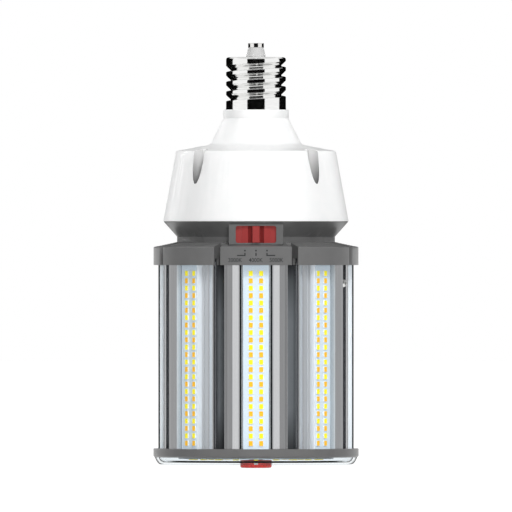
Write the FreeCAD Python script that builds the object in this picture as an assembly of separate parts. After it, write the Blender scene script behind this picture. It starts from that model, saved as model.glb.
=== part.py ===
import FreeCAD, Part
import math
import os

# Corn LED bulb on a mogul screw base, drawn base-up as it is shown.
# z = 0 is the seat under the screw shell, +Z runs to the centre contact, -Y is the front.

V = FreeCAD.Vector
UP = V(0, 0, 1)
ORIGIN = V(0, 0, 0)

# Driving dimensions, mm.
SIDES = 8
STEP = 360.0 / SIDES
FIT = 0.2

# Mogul base.
SHELL_R = 19.5
SHELL_TOP = 34.3
PITCH = 6.35
THREAD_TURNS = 4
ROOT_R = 16.6
SHELL_BORE_R = 15.4
FRONT_CREST_Z = 10.6
CONTACT_R = 5.1
CONTACT_TOP = 43.4
CONTACT_FOOT = 40.5
INSULATOR_R = 6.45

# White driver housing.
COLLAR_R = 21.3
COLLAR_FOOT = -5.4
CONE_TOP_R = 21.1
CONE_FOOT_R = 29.7
CONE_FOOT = -22.6
SKIRT_R = 60.3
SHOULDER_R = SKIRT_R - 8.2
SHOULDER_Z = -26.9
SKIRT_FOOT = -72.8
HOUSING_WALL = 2.2
POCKET_R = 4.95
POCKET_AXIS = SHOULDER_R - 1.1
POCKET_FLOOR = -62.0
POCKET_WALL = 1.8
BOSS_R = 4.2

# Grey neck below it.
NECK_TOP_R = SKIRT_R - 0.4
NECK_LIP = -73.3
NECK_STEP = 8.5
NECK_R = NECK_TOP_R - NECK_STEP
NECK_CONE_FOOT = -82.9
NECK_WALL = 2.2
FLANGE_BORE_R = NECK_R - 11.4
NECK_SCREW_AXIS = NECK_R - 6.4
NECK_POST_AXIS = NECK_R - 6.9

# Colour switch on the front of the neck.
BOX_HALF = 17.65
BOX_TOP = -74.9
BOX_FOOT = -88.0
BOX_FACE = NECK_TOP_R + 0.1
WINDOW_HALF = 13.15
WINDOW_TOP = -75.8
WINDOW_FOOT = -86.9
WINDOW_R = 1.5
SLIDE_TRAVEL = 7.2

# Lobed top cap.
PLATE_R = NECK_R + 12.6
CAP_LAP = 2.8
CAP_R = PLATE_R + CAP_LAP
CAP_SLOPE_TOP = -86.3
CAP_RIM_TOP = -89.5
CAP_FOOT = -101.3
CAP_WALL = 2.4
LOBE_SLOT = 4.3
TAB_SLOT = 1
VENT_ROWS = 6
SLOT_BACK = NECK_R + 2.6
VENT_FIRST_R = NECK_R + 2.8
VENT_PITCH = 1.75
VENT_WIDTH = 0.9

# End plates and the eight light bars.
PLATE_T = 2.0
BAR_TOP = -99.0
BAR_FOOT = -222.5
SEAT_V = PLATE_R - 5.5
CORE_FLAT = SEAT_V - 12.5
CORE_WALL = 2.5
WING_V = SEAT_V - 0.3
CHANNEL_V = SEAT_V - 4.0
CHANNEL_R = 1.5
BOARD_HALF = 8.3
BOARD_T = 1.5
LENS_HALF = 10.0
LENS_FACE = SEAT_V + 5.1
LENS_WALL = 1.0

# Light-emitting diodes.
LED_ROWS = 24
LED_PITCH = 4.8
LED_FIRST_Z = -106.7
LED_U = 3.36
LED_W = 2.8
LED_H = 3.5
LED_T = 0.7

# Bottom end.
RING_R = CAP_R + 0.1
RING_TOP = -220.8
RING_FOOT = -225.5
RING_LIP = 1.0
END_BOARD_R = CHANNEL_V - 4.0
DISH_FOOT = -231.4
DISH_WALL = 1.6
KNOB_R = 10.2
KNOB_TOP = -228.4
KNOB_FOOT = -233.5
STEM_R = 4.45

BOARD_FACE = SEAT_V + BOARD_T
PLATE_TOP = BAR_TOP + PLATE_T
FOOT_PLATE = BAR_FOOT - PLATE_T


def rz(points):
    return [V(r, 0, z) for r, z in points]


def face_of(points):
    return Part.Face(Part.makePolygon(points + [points[0]]))


def revolved(points):
    return face_of(rz(points)).revolve(ORIGIN, UP, 360)


def prism(points, z_low, z_high):
    outline = [V(x, y, z_low) for x, y in points]
    return face_of(outline).extrude(V(0, 0, z_high - z_low))


def block(x0, x1, y0, y1, z0, z1):
    return Part.makeBox(x1 - x0, y1 - y0, z1 - z0, V(x0, y0, z0))


def rod(radius, z_low, z_high, x=0.0, y=0.0):
    return Part.makeCylinder(radius, z_high - z_low, V(x, y, z_low), UP)


def turned(shape, degrees):
    copy = shape.copy()
    copy.rotate(ORIGIN, UP, degrees)
    return copy


def moved(shape, x, y, z):
    copy = shape.copy()
    copy.translate(V(x, y, z))
    return copy


def ring_of(shape, count, first=0.0):
    return [turned(shape, first + 360.0 * k / count) for k in range(count)]


def fused(shapes):
    return shapes[0].multiFuse(shapes[1:]).removeSplitter()


def polar(radius, degrees):
    angle = math.radians(degrees)
    return radius * math.sin(angle), -radius * math.cos(angle)


def save(name, shape):
    shape.exportStep("parts/" + name + ".step")
    print(name, "solids", len(shape.Solids), "valid", shape.isValid(), "volume", round(shape.Volume))


# Screw base.

def thread_turn():
    # One open groove: a steep face above it, a long slant below the crest before it.
    # The crest passes the back a quarter pitch below its place on the left side.
    crest_z = FRONT_CREST_Z - PITCH * 0.25
    profile = [(20.0, -0.6), (ROOT_R, -4.1), (ROOT_R, -4.4), (18.7, -4.75), (20.0, -6.1)]
    helix = Part.makeHelix(PITCH, PITCH, SHELL_R)
    helix.translate(V(0, 0, crest_z))
    outline = Part.makePolygon(rz([(r, crest_z + dz) for r, dz in profile + [profile[0]]]))
    return turned(Part.Wire(helix.Edges).makePipeShell([outline], True, True), 90)


def make_screw_shell():
    corner = 1.6
    tip_r = INSULATOR_R - 0.25
    outside = [(SHELL_BORE_R, 0), (SHELL_R + 0.15, 0), (SHELL_R, 1.0), (SHELL_R, SHELL_TOP - corner)]
    top = [(SHELL_R - corner, SHELL_TOP - 0.15), (tip_r, SHELL_TOP)]
    inside = [(tip_r, SHELL_TOP - 1.0), (SHELL_BORE_R, SHELL_TOP - 1.6)]
    shell = revolved(outside + top + inside)
    for k in range(THREAD_TURNS):
        shell = shell.cut(moved(thread_turn(), 0, 0, k * PITCH))
    return shell


def make_base_insulator():
    hole = 1.7
    return revolved([
        (hole, SHELL_TOP - 3.0), (INSULATOR_R - 1.5, SHELL_TOP - 3.0), (INSULATOR_R - 0.25, SHELL_TOP - 2.0),
        (INSULATOR_R - 0.25, SHELL_TOP), (INSULATOR_R, SHELL_TOP), (CONTACT_R - 0.1, CONTACT_FOOT),
        (hole, CONTACT_FOOT)])


def make_center_contact():
    edge = 0.25
    shank = 1.6
    return revolved([
        (0, SHELL_TOP - 5.0), (shank, SHELL_TOP - 5.0), (shank, CONTACT_FOOT), (CONTACT_R, CONTACT_FOOT),
        (CONTACT_R, CONTACT_TOP - edge), (CONTACT_R - edge * 0.3, CONTACT_TOP - edge * 0.3),
        (CONTACT_R - edge, CONTACT_TOP), (0, CONTACT_TOP)])


# White driver housing with four screw pockets.

def skirt_radius(z):
    share = (SHOULDER_Z - z) / (SHOULDER_Z - SKIRT_FOOT)
    return SHOULDER_R + (SKIRT_R - SHOULDER_R) * share


def make_driver_housing():
    wall = HOUSING_WALL
    outer = [
        (0, 0), (COLLAR_R - 0.3, 0), (COLLAR_R, -0.3), (COLLAR_R, COLLAR_FOOT), (CONE_TOP_R, COLLAR_FOOT - 0.3),
        (CONE_FOOT_R - 0.5, CONE_FOOT + 1.0), (CONE_FOOT_R + 0.9, CONE_FOOT - 0.3), (SHOULDER_R - 1.5, SHOULDER_Z + 0.2),
        (SHOULDER_R - 0.4, SHOULDER_Z - 0.2), (SHOULDER_R + 0.15, SHOULDER_Z - 1.2), (SKIRT_R, SKIRT_FOOT + 0.4),
        (SKIRT_R, SKIRT_FOOT), (0, SKIRT_FOOT)]
    inner = [
        (0, SKIRT_FOOT - 1), (SKIRT_R - wall, SKIRT_FOOT - 1), (SKIRT_R - wall, SKIRT_FOOT),
        (SHOULDER_R - wall, SHOULDER_Z - wall), (CONE_FOOT_R - wall, CONE_FOOT - wall),
        (CONE_TOP_R - wall, COLLAR_FOOT - wall), (10.0, COLLAR_FOOT - wall), (10.0, 1), (0, 1)]
    shell = revolved(outer)
    spout = revolved([(10.0, -1), (SHELL_BORE_R - FIT, -1), (SHELL_BORE_R - FIT, 9.0), (10.0, 9.0)])
    shell = shell.fuse(spout).cut(revolved(inner))
    tube = rod(POCKET_R + POCKET_WALL, POCKET_FLOOR - POCKET_WALL, SHOULDER_Z - 1.5, POCKET_AXIS, 0)
    low = SKIRT_FOOT + 2.8
    envelope = revolved([(0, -5), (CONE_FOOT_R, CONE_FOOT), (SHOULDER_R - 1, SHOULDER_Z - 0.5),
                         (skirt_radius(low) - 0.6, low), (0, low)])
    bore = rod(POCKET_R, POCKET_FLOOR, 0, POCKET_AXIS, 0)
    hole = rod(2.2, POCKET_FLOOR - 5, 0, POCKET_AXIS, 0)
    tubes = fused([shell] + ring_of(tube.common(envelope), 4, 45))
    for cutter in ring_of(bore.fuse(hole), 4, 45):
        tubes = tubes.cut(cutter)
    return tubes


def pan_screw(head_r, head_h, shank_r, shank_h):
    # Head seated on z = 0, shank below it, cross recess on top.
    rounded = revolved([(0, 0), (head_r, 0), (head_r, head_h * 0.45), (head_r * 0.72, head_h), (0, head_h)])
    recess = block(-head_r * 0.55, head_r * 0.55, -0.35, 0.35, head_h * 0.45, head_h + 1)
    shank = rod(shank_r, -shank_h, 0)
    return rounded.fuse(shank).cut(recess).cut(turned(recess, 90))


def make_housing_screws():
    screw = moved(pan_screw(4.1, 2.8, 1.6, 12.0), POCKET_AXIS, 0, POCKET_FLOOR)
    return Part.makeCompound(ring_of(screw, 4, 45))


# Grey neck: cone, tube, inner foot flange, four bosses and the switch box.

def neck_cone_radius(z):
    share = (NECK_LIP - z) / (NECK_LIP - NECK_CONE_FOOT)
    return NECK_TOP_R + (NECK_R - NECK_TOP_R) * share


def make_neck_housing():
    wall = NECK_WALL
    spigot_r = SKIRT_R - HOUSING_WALL - FIT
    body = revolved([
        (spigot_r - 2.4, SKIRT_FOOT + 4.0), (spigot_r - 0.9, SKIRT_FOOT + 4.0), (spigot_r, SKIRT_FOOT),
        (NECK_TOP_R, SKIRT_FOOT), (NECK_TOP_R, NECK_LIP), (NECK_R, NECK_CONE_FOOT), (NECK_R, PLATE_TOP),
        (FLANGE_BORE_R, PLATE_TOP), (FLANGE_BORE_R, PLATE_TOP + wall), (NECK_R - wall, PLATE_TOP + wall),
        (NECK_R - wall, NECK_CONE_FOOT + 1.0), (spigot_r - 1.6, NECK_LIP - 0.6)])
    boss_top = POCKET_FLOOR - POCKET_WALL
    boss = rod(BOSS_R, NECK_CONE_FOOT, boss_top, POCKET_AXIS, 0)
    limit = revolved([(0, boss_top), (spigot_r, boss_top), (spigot_r, SKIRT_FOOT),
                      (neck_cone_radius(NECK_LIP) - 0.5, NECK_LIP), (NECK_R - 0.5, NECK_CONE_FOOT - 1),
                      (0, NECK_CONE_FOOT - 1)])
    bosses = ring_of(boss.common(limit), 4, 45)
    post = rod(2.5, PLATE_TOP + wall - 0.5, SKIRT_FOOT + 0.8, NECK_POST_AXIS, 0)
    posts = ring_of(post, 4, -22.5)
    box = block(-BOX_HALF, BOX_HALF, -BOX_FACE, -46.0, BOX_FOOT, BOX_TOP)
    inside = rod(NECK_R - wall, BOX_FOOT - 1, BOX_TOP + 1)
    box = box.cut(inside)
    neck = fused([body, box] + bosses + posts)
    pilot = rod(1.7, NECK_CONE_FOOT + 3.0, boss_top + 1, POCKET_AXIS, 0)
    for cutter in ring_of(pilot, 4, 45):
        neck = neck.cut(cutter)
    cavity = block(-BOX_HALF + 1.0, BOX_HALF - 1.0, -BOX_FACE + 1.0, -45.0, WINDOW_FOOT - 0.3, WINDOW_TOP + 0.2)
    return neck.cut(cavity).cut(window_prism(-BOX_FACE - 1, -BOX_FACE + 2, 0)).cut(neck_screw_holes(1.7))


def window_prism(y0, y1, shrink):
    half = WINDOW_HALF - shrink
    low = WINDOW_FOOT + shrink
    high = WINDOW_TOP - shrink
    plate = block(-half, half, y0, y1, low, high)
    upright = [e for e in plate.Edges if abs(e.tangentAt(e.FirstParameter).y) > 0.9]
    return plate.makeFillet(WINDOW_R, upright)


def neck_screw_holes(radius):
    x, y = polar(NECK_SCREW_AXIS, 22.5)
    hole = rod(radius, BAR_TOP - 1, PLATE_TOP + 8, x, y)
    return Part.makeCompound(ring_of(hole, 4, 0))


def make_neck_screws():
    x, y = polar(NECK_SCREW_AXIS, 22.5)
    screw = moved(pan_screw(3.0, 2.2, 1.6, NECK_WALL + PLATE_T + 2), x, y, PLATE_TOP + NECK_WALL)
    return Part.makeCompound(ring_of(screw, 4, 0))


# Red switch parts in the box.

def make_switch_backing():
    half = BOX_HALF - 1.0
    back = block(-half, half, -BOX_FACE + 2.2, -BOX_FACE + 3.2, WINDOW_FOOT - 0.3, WINDOW_TOP + 0.2)
    slot_z = (WINDOW_TOP + WINDOW_FOOT) / 2
    slot_half = SLIDE_TRAVEL + 1.2
    return back.cut(block(-slot_half, slot_half, -BOX_FACE + 2, -BOX_FACE + 4, slot_z - 1.1, slot_z + 1.1))


def make_color_slider():
    middle = (WINDOW_TOP + WINDOW_FOOT) / 2
    half = (WINDOW_TOP - WINDOW_FOOT) / 2 - 0.25
    back = -BOX_FACE + 2.05
    top = back - 0.8
    floor = back - 0.4
    apron = prism([(-9.2, back), (-9.2, back - 0.1), (-5.5, top), (-5.2, top), (-5.2, floor), (3.1, floor),
                   (3.1, floor + 0.25), (3.9, floor + 0.25), (3.9, floor), (5.2, floor), (5.2, top), (5.5, top),
                   (9.2, back - 0.1), (9.2, back)], WINDOW_FOOT - 0.1, WINDOW_TOP + 0.05)
    ridge = prism([(-2.65, floor + 0.1), (-2.65, -BOX_FACE), (-2.3, -BOX_FACE - 2.2), (2.3, -BOX_FACE - 2.2),
                   (2.65, -BOX_FACE), (2.65, floor + 0.1)], middle - half, middle + half)
    stem = block(-0.8, 0.8, floor + 0.1, -BOX_FACE + 6.5, middle - 0.85, middle + 0.85)
    return fused([apron, ridge, stem])


def make_color_switch():
    middle = (WINDOW_TOP + WINDOW_FOOT) / 2
    body = block(-11.0, 11.0, -BOX_FACE + 3.2, -BOX_FACE + 9.2, middle - 4.0, middle + 4.0)
    half = SLIDE_TRAVEL + 1.2
    return body.cut(block(-half, half, -BOX_FACE + 2.0, -BOX_FACE + 7.0, middle - 1.4, middle + 1.4))


def make_color_switch_board():
    middle = (WINDOW_TOP + WINDOW_FOOT) / 2
    return block(-14.0, 14.0, -BOX_FACE + 9.2, -BOX_FACE + 10.4, middle - 5.2, middle + 5.2)


# Top cap with eight lobes and arc vents.

def make_top_cap():
    slope = (CAP_RIM_TOP - CAP_SLOPE_TOP) / (CAP_R - NECK_R)
    bore_r = NECK_R + FIT
    rim_in = CAP_R - CAP_WALL
    cap = revolved([
        (bore_r, CAP_SLOPE_TOP), (CAP_R - 0.4, CAP_RIM_TOP + 0.05), (CAP_R, CAP_RIM_TOP - 0.35), (CAP_R, CAP_FOOT),
        (rim_in, CAP_FOOT), (rim_in, CAP_SLOPE_TOP + slope * (rim_in - NECK_R) - 2.0), (bore_r, CAP_SLOPE_TOP - 2.0)])
    half = LOBE_SLOT / 2
    cheek = 1.5
    u_wall = block(-half - cheek, half + cheek, -CAP_R + 1.0, -SLOT_BACK + cheek, PLATE_TOP, CAP_SLOPE_TOP)
    under = revolved([(0, CAP_SLOPE_TOP - 0.3), (NECK_R, CAP_SLOPE_TOP - 0.3), (CAP_R - 0.2, CAP_RIM_TOP - 0.2),
                      (CAP_R - 0.2, CAP_FOOT), (0, CAP_FOOT)])
    tongue = block(-half - cheek, half + cheek, -SLOT_BACK - 4.0, -SLOT_BACK + cheek, CAP_FOOT, PLATE_TOP + 0.5)
    tongues = [turned(tongue, STEP / 2 + k * STEP) for k in range(SIDES) if k != TAB_SLOT]
    cap = fused([cap] + ring_of(u_wall.common(under), SIDES, STEP / 2) + tongues)
    bevel = 1.0
    groove = prism([(-half, -SLOT_BACK), (-half, -CAP_R + 0.5), (-half - bevel, -CAP_R - 0.3), (-half - bevel, -CAP_R - 2),
                    (half + bevel, -CAP_R - 2), (half + bevel, -CAP_R - 0.3), (half, -CAP_R + 0.5), (half, -SLOT_BACK)],
                   CAP_FOOT - 1, CAP_SLOPE_TOP + 1)
    for cutter in ring_of(groove, SIDES, STEP / 2):
        cap = cap.cut(cutter)
    front_notch = block(-BOX_HALF - FIT, BOX_HALF + FIT, -BOX_FACE - FIT, -45, BOX_FOOT - FIT, CAP_SLOPE_TOP + 1)
    cap = cap.cut(front_notch)
    return cap.cut(Part.makeCompound(vent_cutters()))


def vent_cutters():
    cutters = []
    foot = V(0, 0, CAP_RIM_TOP - 4.0)
    height = CAP_SLOPE_TOP + 1.0 - foot.z
    for row in range(VENT_ROWS):
        inner = VENT_FIRST_R + row * VENT_PITCH
        arc = 26.0
        ring = Part.makeCylinder(inner + VENT_WIDTH, height, foot, UP, arc)
        ring = ring.cut(Part.makeCylinder(inner, height, foot, UP, arc))
        for lobe in range(1, SIDES):
            cutters.append(turned(ring, -90 - arc / 2 + lobe * STEP))
    return cutters


# End plates.

def bar_holes(z_low, z_high, radius):
    hole = rod(radius, z_low, z_high, 0, -CHANNEL_V)
    return Part.makeCompound(ring_of(hole, SIDES))


def make_top_plate():
    plate = rod(PLATE_R, BAR_TOP, PLATE_TOP).cut(rod(36.0, BAR_TOP - 1, PLATE_TOP + 1))
    reach = LOBE_SLOT / 2 + 1.5 + FIT
    notch = block(-reach, reach, -PLATE_R - 1, -SLOT_BACK + 1.5 + FIT, BAR_TOP - 1, PLATE_TOP + 1)
    for k in range(SIDES):
        if k != TAB_SLOT:
            plate = plate.cut(turned(notch, STEP / 2 + k * STEP))
    return plate.cut(bar_holes(BAR_TOP - 1, PLATE_TOP + 1, 1.7)).cut(neck_screw_holes(1.7))


def make_bottom_plate():
    plate = rod(PLATE_R, FOOT_PLATE, BAR_FOOT).fuse(rod(END_BOARD_R, FOOT_PLATE - 1.5, FOOT_PLATE + 0.1))
    plate = plate.removeSplitter().cut(rod(5.2, FOOT_PLATE - 3, BAR_FOOT + 1))
    return plate.cut(bar_holes(FOOT_PLATE - 1, BAR_FOOT + 1, 1.7))


def make_top_bar_screws():
    screw = moved(pan_screw(2.7, 2.0, 1.4, 12.0), 0, -CHANNEL_V, PLATE_TOP)
    return Part.makeCompound(ring_of(screw, SIDES))


def make_bottom_bar_screws():
    screw = pan_screw(2.7, 2.0, 1.4, 12.0)
    screw.rotate(ORIGIN, V(1, 0, 0), 180)
    return Part.makeCompound(ring_of(moved(screw, 0, -CHANNEL_V, FOOT_PLATE), SIDES))


# Core and light bars.

def octagon(flat):
    corner = flat / math.cos(math.pi / SIDES)
    return [polar(corner, STEP / 2 + k * STEP) for k in range(SIDES)]


def make_core_tube():
    tube = prism(octagon(CORE_FLAT), BAR_FOOT, BAR_TOP)
    return tube.cut(prism(octagon(CORE_FLAT - CORE_WALL), BAR_FOOT - 1, BAR_TOP + 1))


def make_heatsink_bar():
    # Half of the extruded section in (across, outward), from the middle of the board seat round to the core.
    groove_in = BOARD_HALF + 0.35
    groove_out = LENS_HALF + 1.1
    seat = SEAT_V
    web = SEAT_V - 3.5
    foot = CORE_FLAT + 1.3
    half = [
        (groove_in, seat), (groove_in, seat - 1.9), (groove_out, seat - 1.9), (groove_out, WING_V),
        (15.45, WING_V), (18.7, seat + 1.0), (20.1, seat + 1.4), (20.55, seat + 1.0), (20.5, seat - 0.1),
        (19.2, seat - 0.6), (16.0, seat - 1.9), (14.2, seat - 2.1), (14.2, seat - 8.5), (13.0, seat - 8.5),
        (13.0, web + 0.3), (9.6, web), (9.6, foot), (11.6, foot), (11.6, CORE_FLAT), (6.0, CORE_FLAT), (6.0, foot),
        (8.2, foot), (8.2, web), (3.0, web), (3.0, seat - 5.9), (1.4, seat - 7.1)]
    outline = [(u, -v) for u, v in half] + [(-u, -v) for u, v in reversed(half)]
    bar = prism(outline, BAR_FOOT, BAR_TOP)
    return bar.cut(rod(CHANNEL_R, BAR_FOOT - 1, BAR_TOP + 1, 0, -CHANNEL_V))


def make_led_board():
    return block(-BOARD_HALF, BOARD_HALF, -BOARD_FACE, -SEAT_V, BAR_FOOT + 0.5, BAR_TOP - 0.6)


def make_strip_lens():
    foot = SEAT_V - 1.9
    bend = 0.7
    out = LENS_HALF
    inn = LENS_HALF - LENS_WALL
    face = LENS_FACE
    under = LENS_FACE - LENS_WALL
    half = [(out + 0.7, foot), (out + 0.7, foot + 0.8), (out, foot + 0.8), (out, face - bend), (out - bend, face)]
    back = [(inn - 0.4, under), (inn, under - 0.4), (inn, foot)]
    outline = half + [(-u, v) for u, v in reversed(half)] + [(-u, v) for u, v in reversed(back)] + back
    return prism([(u, -v) for u, v in outline], BAR_FOOT, BAR_TOP)


def make_led_group(first_row):
    solids = []
    for row in range(first_row, LED_ROWS, 2):
        z = LED_FIRST_Z - row * LED_PITCH
        for u in (-LED_U, LED_U):
            chip = block(u - LED_W / 2, u + LED_W / 2, -BOARD_FACE - LED_T, -BOARD_FACE, z - LED_H / 2, z + LED_H / 2)
            solids += ring_of(chip, SIDES)
    return Part.makeCompound(solids)


# Earth tab with its screw and nut, in the gap right of the second bar.

TAB_ANGLE = 67.5
TAB_R = PLATE_R - 4.4
TAB_T = 1.4
TAB_Z = -113.0


def radial(shape):
    # Shapes are drawn on the front (-Y) side and turned to the tab's gap.
    return turned(shape, TAB_ANGLE)


def make_earth_tab():
    strip = block(-2.6, 2.6, -TAB_R - TAB_T, -TAB_R, TAB_Z, BAR_TOP)
    foot = Part.makeCylinder(2.6, TAB_T, V(0, -TAB_R, TAB_Z), V(0, -1, 0))
    hole = Part.makeCylinder(1.6, 9, V(0, -TAB_R + 3, TAB_Z), V(0, -1, 0))
    return radial(strip.fuse(foot).removeSplitter().cut(hole))


def make_earth_screw():
    screw = pan_screw(2.8, 2.1, 1.5, 5.2)
    screw.rotate(ORIGIN, V(1, 0, 0), 90)
    return radial(moved(screw, 0, -TAB_R - TAB_T, TAB_Z))


def make_earth_nut():
    points = [(2.9 * math.cos(math.radians(60 * k)), 2.9 * math.sin(math.radians(60 * k))) for k in range(6)]
    nut = prism(points, 0, 2.2).cut(rod(1.6, -1, 3))
    nut.rotate(ORIGIN, V(1, 0, 0), -90)
    return radial(moved(nut, 0, -TAB_R, TAB_Z))


# Bottom ring, dish, end light board and red power selector.

def make_bottom_ring():
    rim_in = PLATE_R + 3 * FIT
    ledge = PLATE_R - 4.0
    lip_foot = RING_FOOT - RING_LIP
    return revolved([
        (rim_in, RING_TOP), (RING_R, RING_TOP), (RING_R, RING_FOOT), (RING_R - 0.7, lip_foot), (RING_R - 1.7, lip_foot),
        (RING_R - 1.7, RING_FOOT), (ledge, RING_FOOT), (ledge, FOOT_PLATE), (rim_in, FOOT_PLATE)])


def make_end_lens():
    hole = KNOB_R + 0.35
    floor_in = DISH_FOOT + DISH_WALL
    step = RING_FOOT - RING_LIP - 0.1
    flange = RING_R - 1.7 - FIT
    return revolved([
        (flange, RING_FOOT), (flange, step), (RING_R - 0.9, step), (RING_R - 1.9, DISH_FOOT + 2.6),
        (RING_R - 3.0, DISH_FOOT + 1.1), (RING_R - 3.9, DISH_FOOT + 0.35), (RING_R - 4.9, DISH_FOOT), (hole, DISH_FOOT),
        (hole, floor_in), (RING_R - 6.2, floor_in), (RING_R - 4.6, floor_in + 0.9), (RING_R - 3.7, floor_in + 2.4),
        (RING_R - 3.7, RING_FOOT)])


def make_end_board():
    top = FOOT_PLATE - 1.5
    return rod(END_BOARD_R, top - 1.6, top).cut(rod(8.0, top - 3, top + 1))


def make_end_leds():
    top = FOOT_PLATE - 3.1
    solids = []
    for radius, count in ((42.0, 20), (30.0, 14), (18.5, 8)):
        chip = block(-LED_W / 2, LED_W / 2, -radius - LED_H / 2, -radius + LED_H / 2, top - LED_T, top)
        solids += ring_of(chip, count)
    return Part.makeCompound(solids)


def make_power_knob():
    edge = 0.8
    knob = revolved([
        (0, KNOB_FOOT), (KNOB_R - edge, KNOB_FOOT), (KNOB_R, KNOB_FOOT + edge), (KNOB_R, KNOB_TOP),
        (STEM_R, KNOB_TOP), (STEM_R, BAR_FOOT + 5.5), (0, BAR_FOOT + 5.5)])
    knob = knob.cut(block(-7.5, 7.5, -1.0, 1.0, KNOB_FOOT - 1, KNOB_FOOT + 1.8))
    flute = rod(1.0, KNOB_FOOT - 1, KNOB_FOOT + 1.7, 0, -KNOB_R - 0.45)
    for cutter in ring_of(flute, 24, 7.5):
        knob = knob.cut(cutter)
    return knob


def make_power_switch():
    body = block(-11.0, 11.0, -11.0, 11.0, BAR_FOOT, BAR_FOOT + 12.0)
    return body.cut(rod(STEM_R + 0.3, BAR_FOOT - 1, BAR_FOOT + 6.0))


# Driver inside the white housing.

DRIVER_Z = SKIRT_FOOT + 0.8
DRIVER_T = 1.6
DRIVER_R = POCKET_AXIS - BOSS_R - 0.5


def make_driver_board():
    return rod(DRIVER_R, DRIVER_Z, DRIVER_Z + DRIVER_T)


def make_transformer_core():
    z0 = DRIVER_Z + DRIVER_T
    yoke = block(-15.0, 15.0, -7.0, 7.0, z0, z0 + 28.0)
    return yoke.cut(block(-9.5, 9.5, -8.0, 8.0, z0 + 5.0, z0 + 23.0)).fuse(block(-4.0, 4.0, -7.0, 7.0, z0, z0 + 28.0))


def make_transformer_winding():
    z0 = DRIVER_Z + DRIVER_T
    coil = block(-9.5, 9.5, -12.0, 12.0, z0 + 5.0, z0 + 23.0)
    upright = [e for e in coil.Edges if abs(e.tangentAt(e.FirstParameter).z) > 0.9]
    return coil.makeFillet(3.5, upright).cut(block(-4.0, 4.0, -7.0, 7.0, z0, z0 + 28.0))


def make_capacitors():
    z0 = DRIVER_Z + DRIVER_T
    cans = []
    for x, y, radius, height in ((-27.0, -14.0, 8.0, 30.0), (-27.0, 6.0, 8.0, 30.0), (27.0, -16.0, 6.3, 22.0)):
        can = revolved([(0, 0), (radius, 0), (radius, height - 0.8), (radius - 0.8, height), (0, height)])
        cans.append(moved(can, x, y, z0))
    return Part.makeCompound(cans)


def make_line_choke():
    z0 = DRIVER_Z + DRIVER_T
    ring = revolved([(5.0, 0), (12.0, 0), (12.0, 8.0), (5.0, 8.0)])
    return moved(ring, 27.0, 10.0, z0)


def make_driver_heat_plate():
    z0 = DRIVER_Z + DRIVER_T
    outline = [(-16.0, 22.0), (16.0, 22.0), (16.0, 30.0), (14.2, 30.0), (14.2, 23.8), (-14.2, 23.8), (-14.2, 30.0),
               (-16.0, 30.0)]
    return prism(outline, z0, z0 + 24.0)


def main():
    os.makedirs("parts", exist_ok=True)
    save("center_contact", make_center_contact())
    save("base_insulator", make_base_insulator())
    save("screw_shell", make_screw_shell())
    save("driver_housing", make_driver_housing())
    save("housing_screws", make_housing_screws())
    save("neck_housing", make_neck_housing())
    save("neck_screws", make_neck_screws())
    save("switch_backing", make_switch_backing())
    save("color_slider", make_color_slider())
    save("color_switch", make_color_switch())
    save("color_switch_board", make_color_switch_board())
    save("top_cap", make_top_cap())
    save("top_plate", make_top_plate())
    save("top_bar_screws", make_top_bar_screws())
    save("core_tube", make_core_tube())
    bar = make_heatsink_bar()
    board = make_led_board()
    lens = make_strip_lens()
    for k in range(SIDES):
        number = str(k + 1)
        save("heatsink_bar_" + number, turned(bar, k * STEP))
        save("led_board_" + number, turned(board, k * STEP))
        save("strip_lens_" + number, turned(lens, k * STEP))
    save("cool_white_leds", make_led_group(0))
    save("warm_white_leds", make_led_group(1))
    save("earth_tab", make_earth_tab())
    save("earth_screw", make_earth_screw())
    save("earth_nut", make_earth_nut())
    save("bottom_plate", make_bottom_plate())
    save("bottom_bar_screws", make_bottom_bar_screws())
    save("bottom_ring", make_bottom_ring())
    save("end_lens", make_end_lens())
    save("end_board", make_end_board())
    save("end_leds", make_end_leds())
    save("power_knob", make_power_knob())
    save("power_switch", make_power_switch())
    save("driver_board", make_driver_board())
    save("transformer_core", make_transformer_core())
    save("transformer_winding", make_transformer_winding())
    save("capacitors", make_capacitors())
    save("line_choke", make_line_choke())
    save("driver_heat_plate", make_driver_heat_plate())


main()
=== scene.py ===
# %% [markdown]
# # Dressing a corn LED bulb
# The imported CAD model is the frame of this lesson: a threaded base, a white driver housing, a grey neck and
# cap, eight light bars and a clear end dish. The solids already have the right size and place, so nothing
# is moved here. What is added is what the eye reads from close by: soft mould edges, a rolled thread, small
# LED packages, printed marks and a finish for every material.

# %% Load the frame
import bmesh
import bpy
import math
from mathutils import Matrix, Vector


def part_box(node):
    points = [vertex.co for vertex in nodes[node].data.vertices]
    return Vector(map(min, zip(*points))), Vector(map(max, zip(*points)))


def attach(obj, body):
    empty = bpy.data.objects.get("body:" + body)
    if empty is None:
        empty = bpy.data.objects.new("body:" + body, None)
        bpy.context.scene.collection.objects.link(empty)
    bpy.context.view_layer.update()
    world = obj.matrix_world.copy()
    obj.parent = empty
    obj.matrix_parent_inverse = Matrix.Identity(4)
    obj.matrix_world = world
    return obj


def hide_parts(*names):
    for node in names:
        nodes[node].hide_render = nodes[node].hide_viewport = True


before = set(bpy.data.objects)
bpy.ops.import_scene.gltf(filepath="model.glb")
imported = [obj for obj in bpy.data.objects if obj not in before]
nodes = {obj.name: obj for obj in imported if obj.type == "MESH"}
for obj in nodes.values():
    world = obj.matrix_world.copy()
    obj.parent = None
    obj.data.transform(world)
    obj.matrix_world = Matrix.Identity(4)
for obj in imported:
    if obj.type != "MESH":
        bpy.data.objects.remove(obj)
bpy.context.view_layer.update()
MM = 0.001

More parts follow.
